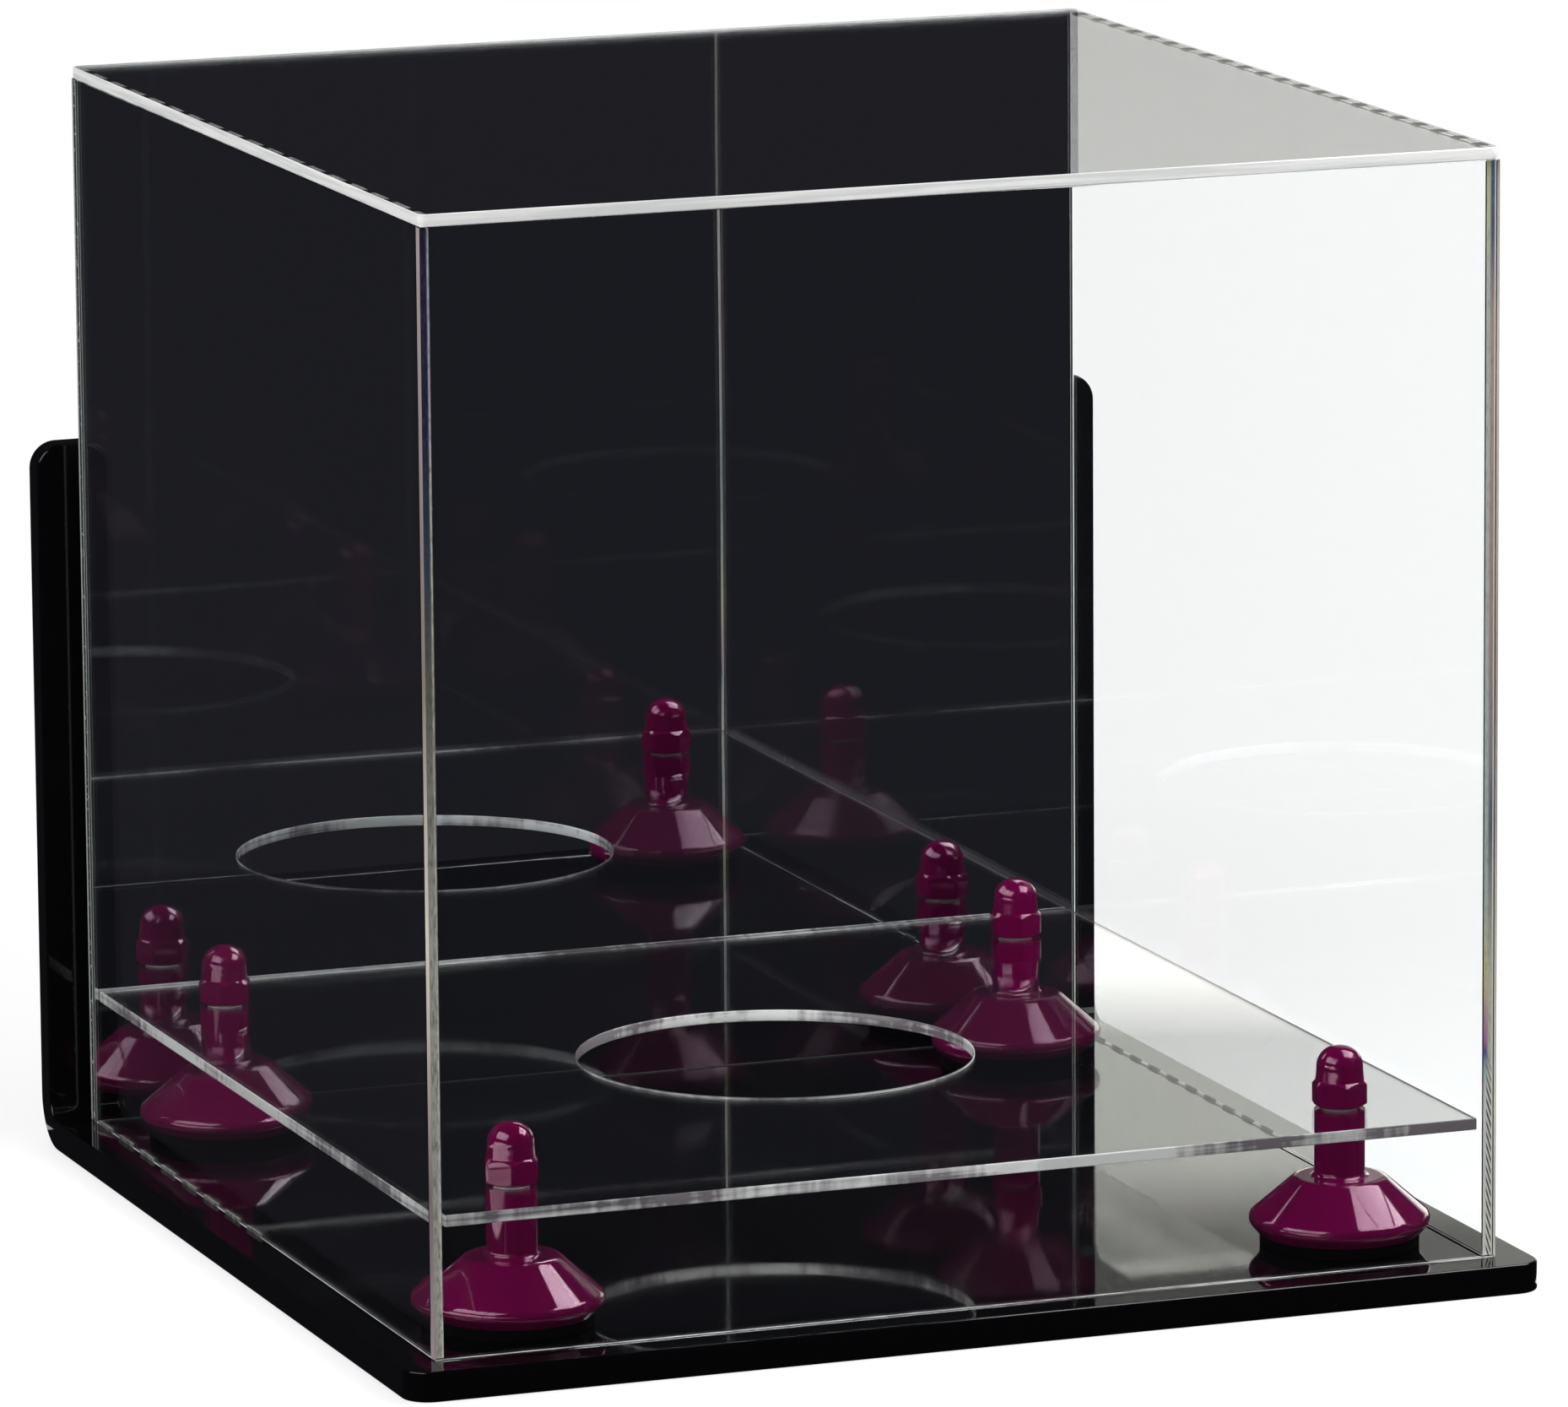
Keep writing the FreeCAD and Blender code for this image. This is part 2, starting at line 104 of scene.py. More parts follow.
def new_material(surface, *arguments, name=None):
    """A material named for its finish, with the shader that the function surface builds. It is made once."""
    name = name or surface.__name__
    material = bpy.data.materials.get(name)
    if material is None:
        material = bpy.data.materials.new(name)
        material.use_nodes = True
        tree = material.node_tree
        tree.nodes.clear()
        shader = surface(tree, *arguments)
        add_node(tree, "ShaderNodeOutputMaterial", {"Surface": shader})
    return material


def spot(tree):
    """The X, Y and Z of a point on a piece, as sockets."""
    place = add_node(tree, "ShaderNodeTexCoord")
    return add_node(tree, "ShaderNodeSeparateXYZ", {0: place.outputs["Object"]}).outputs


def specks(tree, size, start=0.0, stop=1.0, stretch=(1, 1, 1), detail=2.0, least=0.0, most=1.0):
    """How far specks show at a point, from least to most. size is one speck, stretch is small along the
    directions that specks are drawn out in, and start and stop are the noise levels where they come in."""
    place = add_node(tree, "ShaderNodeTexCoord")
    drawn = add_node(tree, "ShaderNodeVectorMath", {0: place.outputs["Object"], 1: stretch},
                     operation="MULTIPLY")
    noise = add_node(tree, "ShaderNodeTexNoise", {"Vector": drawn, "Scale": 1 / size, "Detail": detail})
    return add_node(tree, "ShaderNodeMapRange", {"Value": noise.outputs["Fac"], "From Min": start,
                                                 "From Max": stop, "To Min": least, "To Max": most})


def uneven_skin(tree, size, depth, strength, detail=2.0):
    """Shallow bumps: size is one bump, and depth how deep it would be at a strength of 1."""
    place = add_node(tree, "ShaderNodeTexCoord")
    noise = add_node(tree, "ShaderNodeTexNoise",
                     {"Vector": place.outputs["Object"], "Scale": 1 / size, "Detail": detail})
    return add_node(tree, "ShaderNodeBump",
                    {"Strength": strength, "Distance": depth, "Height": noise.outputs["Fac"]})


def colour_property(name, description, hex_colour):
    """A colour that a user may change, given as sRGB hex."""
    return bpy.props.FloatVectorProperty(name=name, description=description, subtype="COLOR", size=3,
                                         min=0.0, max=1.0, default=linear(hex_colour))


def length_property(name, description, millimetres):
    """A length that a user may change, given in millimetres."""
    return bpy.props.FloatProperty(name=name, description=description, unit="LENGTH", precision=5,
                                   min=0.0, default=millimetres * MM)


def angle_property(name, description, degrees):
    """An angle that a user may change, given in degrees."""
    return bpy.props.FloatProperty(name=name, description=description, subtype="ANGLE",
                                   default=math.radians(degrees))


class CaseSizes(bpy.types.PropertyGroup):
    """Small sizes of the dressed parts."""
    edge_ease: length_property("Edge ease", "Bevel along the sawn edges of the sheets", 0.25)
    bond_gap: length_property("Bond gap", "Air left between two sheets that touch", 0.03)
    top_pitch_left: length_property("Left top pitch", "Marks at the left top, one to the next", 15.6)
    top_pitch_right: length_property("Right top pitch", "Marks at the right top, one to the next", 11.9)
    foot_pitch_left: length_property("Left foot pitch", "Marks at the left foot, one to the next", 17.4)
    foot_pitch_right: length_property("Right foot pitch", "Marks at the right foot, one to the next", 11.9)
    mark_length: length_property("Mark length", "A mark under the top sheet, along its sheet", 4.8)
    mark_depth: length_property("Mark depth", "A mark under the top sheet, into its sheet", 0.9)
    foot_length_left: length_property("Left foot mark", "A mark at the left sheet's foot, along it", 11.0)
    foot_depth_left: length_property("Left foot depth", "A mark at the left sheet's foot, into it", 1.0)
    foot_length_right: length_property("Right foot mark", "A mark at the right sheet's foot, along it", 6.5)
    foot_depth_right: length_property("Right foot depth", "A mark at the right sheet's foot, into it", 0.7)
    edge_streak: length_property("Edge streak", "Saw streaks on the sheets' edges, one to the next", 2.9)
    top_corner: length_property("Top corner", "Rounding of the top sheet's corners", 2.0)
    screw_hole: length_property("Screw hole", "Radius of the screw holes in the shelf", 4.25)


class CaseColours(bpy.types.PropertyGroup):
    """Colours of the finishes."""
    black_sheet: colour_property("Black sheet", "Black cast acrylic of the base", "#050506")
    clear_sheet: colour_property("Clear sheet", "What clear acrylic leaves of passing light", "#FDFEFE")
    clear_shade: colour_property("Clear shade", "What clear acrylic leaves of a lamp's light", "#F7F8F8")
    lacquer: colour_property("Lacquer", "Purple lacquer of the risers and cap nuts", "#560032")
    lacquer_glow: colour_property("Lacquer glow", "Tint of the lacquer's shine", "#F0A0D0")
    rubber: colour_property("Rubber", "Moulded rubber of the pads", "#040404")
    zinc: colour_property("Zinc", "Bright zinc plate of the screws", "#C4C7CA")
    silver: colour_property("Silver", "Silvering of the mirror sheet", "#DDE0E2")
    backing: colour_property("Backing", "Grey paint behind the silvering", "#6C6F72")
    # These edge tones are also painted on the flamed and shelf edges as the light those edges gather.
    edge_bright: colour_property("Bright edge", "Acrylic edge where it scatters most", "#FAFAF9")
    edge_dull: colour_property("Dull edge", "Acrylic edge where it scatters less", "#E2E4E3")
    edge_grey: colour_property("Grey edge", "Acrylic edge between saw streaks", "#8E9290")
    edge_saw: colour_property("Saw streak", "Saw streak in the right sheet's end", "#555355")
    # Painted shade: a grey that stands for the look of a clear edge.
    edge_dark: colour_property("Dark edge", "Clear stretch of the shelf's edge", "#7C757A")
    edge_cream: colour_property("Cream edge", "Outer rim of the right sheet's end", "#E6E5D2")
    edge_line: colour_property("Edge line", "Front corner of the front sheet's right end", "#A8A29E")
    end_dark: colour_property("Dark end", "End of a side sheet against the mirror", "#2E3234")
    end_pale: colour_property("Pale end", "Rims of a side sheet's end against the mirror", "#A9ADA9")
    seam_dark: colour_property("Dark seam", "Bonded seam where it is thin", "#DADBD9")
    seam_pale: colour_property("Pale seam", "Bonded seam where it holds air", "#FBFBFA")
    foot_dark: colour_property("Dark foot", "Foot of a side sheet where it touches the base", "#3A3B3A")
    mark_high: colour_property("Top mark", "Cutter mark under the top sheet", "#161817")
    mark_low: colour_property("Foot mark", "Cutter mark at the foot of the left sheet", "#7E807C")
    mark_grey: colour_property("Grey mark", "Cutter mark at the foot of the right sheet", "#4C4D4A")


class CaseStage(bpy.types.PropertyGroup):
    """Camera and studio."""
    azimuth: angle_property("Azimuth", "Camera round the case, from its front to its right", -20.47)
    elevation: angle_property("Elevation", "Camera above the horizon", 11.015)
    roll: angle_property("Roll", "Camera about its own line of sight", -0.443)
    distance: length_property("Distance", "Camera to the point that it looks at", 2961.7)
    lens: bpy.props.FloatProperty(name="Lens", description="Focal length on a 36 mm wide frame",
                                  unit="CAMERA", default=267.43)
    target: bpy.props.FloatVectorProperty(name="Target", description="Point that the camera looks at",
                                          subtype="XYZ", unit="LENGTH", default=(0.00357, -0.002, 0.1334))
    ambient: bpy.props.FloatProperty(name="Ambient", description="Even light on matt surfaces", default=0.75)
    room: colour_property("Room", "Dark room that the glossy parts mirror", "#202025")
    card: colour_property("Card", "White cards that the glossy parts mirror", "#FFFFF6")
    floor: colour_property("Floor", "Pale floor where the shadow falls", "#F9F9F9")
    floor_bounce: colour_property("Floor bounce", "Floor, for the light that it throws back", "#959595")


def clear_cast_acrylic(tree, colours):
    """Clear cast acrylic, polished: it bends and mirrors light as glass does, and lamps reach what is
    behind it."""
    sheet = add_node(tree, "ShaderNodeBsdfPrincipled",
                     {"Base Color": colours.clear_sheet, "Roughness": 0.0, "IOR": CLEAR_IOR,
                      "Transmission Weight": 1.0})
    past = add_node(tree, "ShaderNodeBsdfTransparent", {"Color": colours.clear_shade})
    path = add_node(tree, "ShaderNodeLightPath")
    return add_node(tree, "ShaderNodeMixShader", {0: path.outputs["Is Shadow Ray"], 1: sheet, 2: past})


def flamed_acrylic_edge(tree, colours):
    """Flame-polished acrylic edge: the light that its whole sheet gathers is painted on it as white, in fine
    lines along the edge. The right end has a grey upper rim."""
    # Painted light: the white stands for light gathered through the sheet, not for the edge's own colour.
    lines = specks(tree, size=1.2 * MM, start=0.35, stop=0.55, stretch=(0.03, 0.03, 1))
    white = add_node(tree, "ShaderNodeMix",
                     {"Factor": lines, "A": colours.edge_dull, "B": colours.edge_bright})
    x, _, z = spot(tree)
    rim_width = 0.4 * MM
    rim_depth = 0.9 * MM
    right = add_node(tree, "ShaderNodeMath", {0: x, 1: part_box("cover_right")[1].x - rim_width},
                     operation="GREATER_THAN")
    upper = add_node(tree, "ShaderNodeMath", {0: z, 1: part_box("cover_top")[1].z - rim_depth},
                     operation="GREATER_THAN")
    rim = add_node(tree, "ShaderNodeMath", {0: right, 1: upper}, operation="MULTIPLY")
    colour = add_node(tree, "ShaderNodeMix", {"Factor": rim, "A": white, "B": colours.edge_dark})
    return add_node(tree, "ShaderNodeBsdfPrincipled",
                    {"Base Color": colour, "Roughness": 0.3, "IOR": CLEAR_IOR, "Transmission Weight": 0.1})


def solvent_bonded_seam(tree, colours):
    """Seam bonded with solvent: grey where the sheets have melted together, paler where a film of air is
    left."""
    film = specks(tree, size=1.6 * MM, start=0.35, stop=0.65, stretch=(1, 0.2, 1))
    colour = add_node(tree, "ShaderNodeMix",
                      {"Factor": film, "A": colours.seam_dark, "B": colours.seam_pale})
    return add_node(tree, "ShaderNodeBsdfPrincipled",
                    {"Base Color": colour, "Roughness": 0.25, "IOR": CLEAR_IOR})


def side_sheet_foot(tree, colours):
    """Foot of a side sheet: a thin pale line where it is scraped, dark at the right front."""
    wear = specks(tree, size=2 * MM, start=0.35, stop=0.7, stretch=(1, 0.15, 1), detail=3.0)
    worn = add_node(tree, "ShaderNodeMix", {"Factor": wear, "A": colours.edge_grey, "B": colours.edge_dull})
    x, y, _ = spot(tree)
    fore = add_node(tree, "ShaderNodeMapRange", {"Value": y, "From Min": -30 * MM, "From Max": -60 * MM})
    right = add_node(tree, "ShaderNodeMath", {0: x, 1: 0.0}, operation="GREATER_THAN")
    near = add_node(tree, "ShaderNodeMath", {0: fore, 1: right}, operation="MULTIPLY")
    colour = add_node(tree, "ShaderNodeMix", {"Factor": near, "A": worn, "B": colours.foot_dark})
    return add_node(tree, "ShaderNodeBsdfPrincipled",
                    {"Base Color": colour, "Roughness": 0.4, "IOR": CLEAR_IOR, "Transmission Weight": 0.2})


def scraped_acrylic_foot(tree, colours):
    """Foot of the front sheet: a scraped edge that scatters light as a pale line, with brighter chips."""
    chips = specks(tree, size=6 * MM, start=0.35, stop=0.65, detail=3.0)
    colour = add_node(tree, "ShaderNodeMix",
                      {"Factor": chips, "A": colours.edge_grey, "B": colours.edge_bright})
    return add_node(tree, "ShaderNodeBsdfPrincipled",
                    {"Base Color": colour, "Roughness": 0.3, "IOR": CLEAR_IOR, "Transmission Weight": 0.2})


def streaked_acrylic_edge(tree, colours, sizes):
    """Edge of the shelf: a grey painted for its clear look, with short upright streaks, and painted white
    stretches of gathered light that come and go along it. Its right end is painted the darkest grey."""
    # Painted light: wide random stretches where the edge is painted white for the light it gathers.
    shown = specks(tree, size=50 * MM, detail=1.0, most=2.5)
    streaks = specks(tree, size=sizes.edge_streak, stretch=(1, 1, 0.15), detail=4.0)
    lines = specks(tree, size=1.2 * MM, stretch=(0.03, 0.03, 1))
    x = spot(tree)["X"]
    # Painted shade: towards its right end the edge is painted the darker grey.
    painted_dark_end = add_node(tree, "ShaderNodeMapRange", {"Value": x, "From Min": 90 * MM, "From Max": 120 * MM,
                                                    "To Min": 0.0, "To Max": -0.7})
    for layer in (streaks, lines, painted_dark_end):
        shown = add_node(tree, "ShaderNodeMath", {0: shown, 1: layer}, operation="ADD")
    amount = add_node(tree, "ShaderNodeMapRange", {"Value": shown, "From Min": 1.95, "From Max": 2.45})
    colour = add_node(tree, "ShaderNodeMix",
                      {"Factor": amount, "A": colours.edge_dark, "B": colours.edge_bright})
    return add_node(tree, "ShaderNodeBsdfPrincipled",
                    {"Base Color": colour, "Roughness": 0.12, "IOR": CLEAR_IOR, "Transmission Weight": 0.3})


# Painted reflections in the ends of the front sheet, from foot to top: places up the sheet, and the colour
# there.
FRONT_LEFT_REFLECTED = ((0.0, "#B09AA6"), (0.15, "#84787A"), (0.38, "#F4E8DA"), (0.6, "#988A80"), (0.97, "#B6A4A6"))
FRONT_RIGHT_REFLECTED = ((0.0, "#D8D7D2"), (0.1, "#F6F5EE"), (0.5, "#A89C9A"), (0.82, "#E4D6CE"), (0.95, "#CAC2BE"))

# Sawn ends of the side sheets, in the same way. Past the pale sawn face, these colours are painted
# reflections and tints of light.
LEFT_CORE_REFLECTED = ((0.0, "#D6D4C6"), (0.38, "#BCBDB8"), (0.6, "#78786F"), (0.7, "#3C5068"), (0.84, "#26294C"))
LEFT_RIMS_REFLECTED = ((0.0, "#F0EFE4"), (0.6, "#CAC2AE"), (0.76, "#E6E2C8"), (0.84, "#D4C6E2"))
SAWN_PALE = ((0.0, "#F6F4EC"), (0.12, "#E8E6E4"))
RIGHT_INNER_REFLECTED = ((0.172, "#5CA8B4"), (0.186, "#4C58A0"), (0.2, "#B87CB6"), (0.257, "#DDD2A4"),
               (0.33, "#C4CEC8"), (0.88, "#C6CEC8"), (0.95, "#D2D6A4"))
RIGHT_OUTER_REFLECTED = ((0.26, "#CFCEBE"), (0.4, "#646C86"), (0.47, "#A498A4"), (0.6, "#C4A09E"), (0.86, "#C4A8A4"),
               (0.935, "#5C6696"))

# Edge of the mirror sheet, from its face to its painted back.
MIRROR_LAYERS = ((0.0, "#8E9290"), (0.12, "#2C2F31"), (0.5, "#3C4042"), (0.62, "#A2A6A3"), (1.0, "#B4B7B4"))


def polished_acrylic_end(tree, colours, low, high):
    """Ends of the front sheet: polished, with the tints of what is behind them painted on in bands up the
    sheet, and fine lines up them. The front corner of the right end is a grey line."""
    x, y, z = spot(tree)
    height = add_node(tree, "ShaderNodeMapRange", {"Value": z, "From Min": low.z, "From Max": high.z})
    # Painted reflections: the colour bands up each end.
    left = add_node(tree, "ShaderNodeValToRGB", {"Fac": height}, stops=FRONT_LEFT_REFLECTED)
    right = add_node(tree, "ShaderNodeValToRGB", {"Fac": height}, stops=FRONT_RIGHT_REFLECTED)
    fore = add_node(tree, "ShaderNodeMapRange",
                    {"Value": y, "From Min": low.y + 1.2 * MM, "From Max": low.y + 0.8 * MM})
    lined = add_node(tree, "ShaderNodeMix", {"Factor": fore, "A": right, "B": colours.edge_line})
    side = add_node(tree, "ShaderNodeMath", {0: x, 1: 0.0}, operation="GREATER_THAN")
    plain = add_node(tree, "ShaderNodeMix", {"Factor": side, "A": left, "B": lined})
    lines = specks(tree, size=0.9 * MM, start=0.55, stop=0.75, stretch=(1, 1, 0.04), most=0.35)
    colour = add_node(tree, "ShaderNodeMix", {"Factor": lines, "A": plain, "B": colours.edge_saw})
    return add_node(tree, "ShaderNodeBsdfPrincipled",
                    {"Base Color": colour, "Roughness": 0.3, "IOR": CLEAR_IOR, "Transmission Weight": 0.1})


def end_parts(tree, colours, low, high):
    """Where a point of a side sheet's end is: its share of the height, its share of the thickness, how near
    a rim it is, 1 for the rear end, and the colour of that end."""
    x, y, z = spot(tree)
    height = add_node(tree, "ShaderNodeMapRange", {"Value": z, "From Min": low.z, "From Max": high.z})
    across = add_node(tree, "ShaderNodeMapRange", {"Value": x, "From Min": low.x, "From Max": high.x})
    offset = add_node(tree, "ShaderNodeMath", {0: across, 1: -0.5}, operation="ADD")
    aside = add_node(tree, "ShaderNodeMath", {0: offset}, operation="ABSOLUTE")
    rim = add_node(tree, "ShaderNodeMapRange", {"Value": aside, "From Min": 0.2, "From Max": 0.34})
    rear = add_node(tree, "ShaderNodeMath", {0: y, 1: 0.0}, operation="GREATER_THAN")
    shut = add_node(tree, "ShaderNodeMix", {"Factor": rim, "A": colours.end_dark, "B": colours.end_pale})
    return height, across, rim, rear, shut


# Grain of the sawn ends, drawn out upwards.
END_GRAIN = {"size": 0.7 * MM, "stretch": (1, 1, 0.25), "detail": 3.0, "start": 0.3}


def streaked_acrylic_end(tree, colours, low, high):
    """Sawn end of the left sheet, behind the front sheet: pale and grainy low down, with a painted dark blue
    reflection above.
    """
    height, _, rim, rear, shut = end_parts(tree, colours, low, high)
    # Painted reflection: the dark blue and the tints up the end.
    core = add_node(tree, "ShaderNodeValToRGB", {"Fac": height}, stops=LEFT_CORE_REFLECTED)
    rims = add_node(tree, "ShaderNodeValToRGB", {"Fac": height}, stops=LEFT_RIMS_REFLECTED)
    plain = add_node(tree, "ShaderNodeMix", {"Factor": rim, "A": core, "B": rims})
    grain = specks(tree, stop=0.55, least=0.7, most=0.0, **END_GRAIN)
    front = add_node(tree, "ShaderNodeMix", {"Factor": grain, "A": plain, "B": colours.edge_saw})
    colour = add_node(tree, "ShaderNodeMix", {"Factor": rear, "A": front, "B": shut})
    return add_node(tree, "ShaderNodeBsdfPrincipled",
                    {"Base Color": colour, "Roughness": 0.2, "IOR": CLEAR_IOR})


def sawn_acrylic_end(tree, colours, sizes, low, high):
    """Sawn end of the right sheet, behind the front sheet: slanting saw streaks low down, and above them two
    stripes of painted reflected tints side by side, with a cream outer rim."""
    height, across, _, rear, shut = end_parts(tree, colours, low, high)
    place = add_node(tree, "ShaderNodeTexCoord")
    slant = add_node(tree, "ShaderNodeVectorMath", {0: place.outputs["Object"], 1: (3.2, 0, 1)},
                     operation="MULTIPLY")
    streaks = add_node(tree, "ShaderNodeTexWave",
                       {"Vector": slant, "Scale": math.tau / 10 / sizes.edge_streak, "Distortion": 0.8,
                        "Detail": 1.0},
                       wave_type="BANDS", bands_direction="DIAGONAL")
    amount = add_node(tree, "ShaderNodeMapRange",
                      {"Value": streaks.outputs["Fac"], "From Min": 0.45, "From Max": 0.72})
    inside = add_node(tree, "ShaderNodeMapRange", {"Value": across, "From Min": 0.28, "From Max": 0.42})
    worn = add_node(tree, "ShaderNodeMath", {0: amount, 1: inside}, operation="MULTIPLY")
    pale = add_node(tree, "ShaderNodeValToRGB", {"Fac": height}, stops=SAWN_PALE)
    sawn = add_node(tree, "ShaderNodeMix", {"Factor": worn, "A": pale, "B": colours.edge_saw})
    # Painted reflections: the two stripes of tints above the saw streaks.
    inner = add_node(tree, "ShaderNodeValToRGB", {"Fac": height}, stops=RIGHT_INNER_REFLECTED)
    outer = add_node(tree, "ShaderNodeValToRGB", {"Fac": height}, stops=RIGHT_OUTER_REFLECTED)
    split = add_node(tree, "ShaderNodeMapRange", {"Value": across, "From Min": 0.35, "From Max": 0.55})
    striped = add_node(tree, "ShaderNodeMix", {"Factor": split, "A": inner, "B": outer})
    grain = specks(tree, stop=0.5, least=0.5, most=0.0, **END_GRAIN)
    painted_tints = add_node(tree, "ShaderNodeMix", {"Factor": grain, "A": striped, "B": colours.edge_grey})
    above = add_node(tree, "ShaderNodeMapRange", {"Value": height, "From Min": 0.15, "From Max": 0.19})
    plain = add_node(tree, "ShaderNodeMix", {"Factor": above, "A": sawn, "B": painted_tints})
    rim = add_node(tree, "ShaderNodeMapRange", {"Value": across, "From Min": 0.78, "From Max": 0.84})
    front = add_node(tree, "ShaderNodeMix", {"Factor": rim, "A": plain, "B": colours.edge_cream})
    colour = add_node(tree, "ShaderNodeMix", {"Factor": rear, "A": front, "B": shut})
    return add_node(tree, "ShaderNodeBsdfPrincipled",
                    {"Base Color": colour, "Roughness": 0.2, "IOR": CLEAR_IOR})


def mirror_sheet_edge(tree, colours, low, high):
    """Edge of the mirror sheet: a dark layer of silver between two grey ones, with fine specks."""
    y = spot(tree)["Y"]
    depth = add_node(tree, "ShaderNodeMapRange", {"Value": y, "From Min": low.y, "From Max": high.y})
    layers = add_node(tree, "ShaderNodeValToRGB", {"Fac": depth}, stops=MIRROR_LAYERS)
    dust = specks(tree, size=1.2 * MM, start=0.6, stop=0.75, most=0.6)
    colour = add_node(tree, "ShaderNodeMix", {"Factor": dust, "A": layers, "B": colours.edge_dull})
    return add_node(tree, "ShaderNodeBsdfPrincipled",
                    {"Base Color": colour, "Roughness": 0.15, "IOR": CLEAR_IOR})


def black_cast_acrylic(tree, colours):
    """Black cast acrylic: deep polish, with wipe marks so faint that only the shine shows them."""
    shine = specks(tree, size=30 * MM, start=0.35, stop=0.75, detail=4.0, least=0.02, most=0.07)
    return add_node(tree, "ShaderNodeBsdfPrincipled",
                    {"Base Color": colours.black_sheet, "Roughness": shine, "IOR": CLEAR_IOR})


def silvered_acrylic(tree, colours):
    """Silvered acrylic: a true mirror, a little wavy as plastic mirrors are."""
    waves = uneven_skin(tree, size=120 * MM, depth=0.4 * MM, strength=0.15, detail=1.0)
    return add_node(tree, "ShaderNodeBsdfPrincipled",
                    {"Base Color": colours.silver, "Metallic": 1.0, "Roughness": 0.0, "Normal": waves})


def sprayed_backing_paint(tree, colours):
    """Grey backing paint, sprayed: matt, with a fine orange peel."""
    peel = uneven_skin(tree, size=1.5 * MM, depth=0.05 * MM, strength=0.3)
    return add_node(tree, "ShaderNodeBsdfPrincipled",
                    {"Base Color": colours.backing, "Roughness": 0.55, "Normal": peel})


def purple_gloss_lacquer(tree, colours):
    """Purple gloss lacquer: a deep colour under a clear wet shine, with a trace of orange peel."""
    peel = uneven_skin(tree, size=3 * MM, depth=0.05 * MM, strength=0.08)
    return add_node(tree, "ShaderNodeBsdfPrincipled",
                    {"Base Color": colours.lacquer, "Roughness": 0.06, "Specular IOR Level": 1.0,
                     "Specular Tint": colours.lacquer_glow, "Coat Weight": 0.7, "Coat Roughness": 0.02,
                     "Coat Normal": peel})


def moulded_black_rubber(tree, colours):
    """Black moulded rubber: dull, with a fine grain from the mould."""
    grain = uneven_skin(tree, size=0.6 * MM, depth=0.05 * MM, strength=0.3)
    return add_node(tree, "ShaderNodeBsdfPrincipled",
                    {"Base Color": colours.rubber, "Roughness": 0.75, "Specular IOR Level": 0.02,
                     "Normal": grain})


def bright_zinc_plate(tree, colours):
    """Bright zinc plate on turned steel: a soft metal shine, uneven where the plating pooled."""
    pools = specks(tree, size=2 * MM, least=0.2, most=0.4)
    return add_node(tree, "ShaderNodeBsdfPrincipled",
                    {"Base Color": colours.zinc, "Metallic": 1.0, "Roughness": pools})


def cutter_mark_hollow(tree, colours):
    """Hollow left by the cutter: black under the top sheet, grey at the right foot, pale and hatched at the
    left foot."""
    x, _, z = spot(tree)
    hatch = specks(tree, size=1.5 * MM, start=0.4, stop=0.6, detail=3.0)
    hatched = add_node(tree, "ShaderNodeMix",
                       {"Factor": hatch, "A": colours.mark_grey, "B": colours.mark_low})
    right = add_node(tree, "ShaderNodeMath", {0: x, 1: 0.0}, operation="GREATER_THAN")
    foot = add_node(tree, "ShaderNodeMix", {"Factor": right, "A": hatched, "B": colours.mark_grey})
    high = add_node(tree, "ShaderNodeMapRange", {"Value": z, "From Min": 100 * MM, "From Max": 200 * MM})
    tone = add_node(tree, "ShaderNodeMix", {"Factor": high, "A": foot, "B": colours.mark_high})
    return add_node(tree, "ShaderNodeBsdfPrincipled",
                    {"Base Color": tone, "Roughness": 0.8, "Specular IOR Level": 0.1})


def finish_node(node, material):
    """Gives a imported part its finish."""
    for slot in frame["nodes"][node].material_slots:
        slot.material = material


def ring(middle, radius, count):
    """Points round a circle."""
    x, y = middle
    return [(x + radius * math.cos(math.tau * i / count), y + radius * math.sin(math.tau * i / count))
            for i in range(count)]


CORNER_STEPS = 8


def outline(width, height, corner):
    """Points round a rectangle about the origin, its corners rounded if corner is more than 0."""
    points = []
    for turn, x, y in ((0, 1, 1), (1, -1, 1), (2, -1, -1), (3, 1, -1)):
        middle_x, middle_y = x * (width / 2 - corner), y * (height / 2 - corner)
        steps = CORNER_STEPS if corner > 0 else 0
        for step in range(steps + 1):
            angle = (turn + step / max(steps, 1)) * math.pi / 2
            points.append((middle_x + corner * math.cos(angle), middle_y + corner * math.sin(angle)))
    return points


# Edges between faces that turn by more than this are eased.
SHARP = math.radians(60)
# A face is square to an axis from this share of its normal, and lies on a sheet's face within this distance.
SQUARE = 0.999
TOUCHING = 1e-7


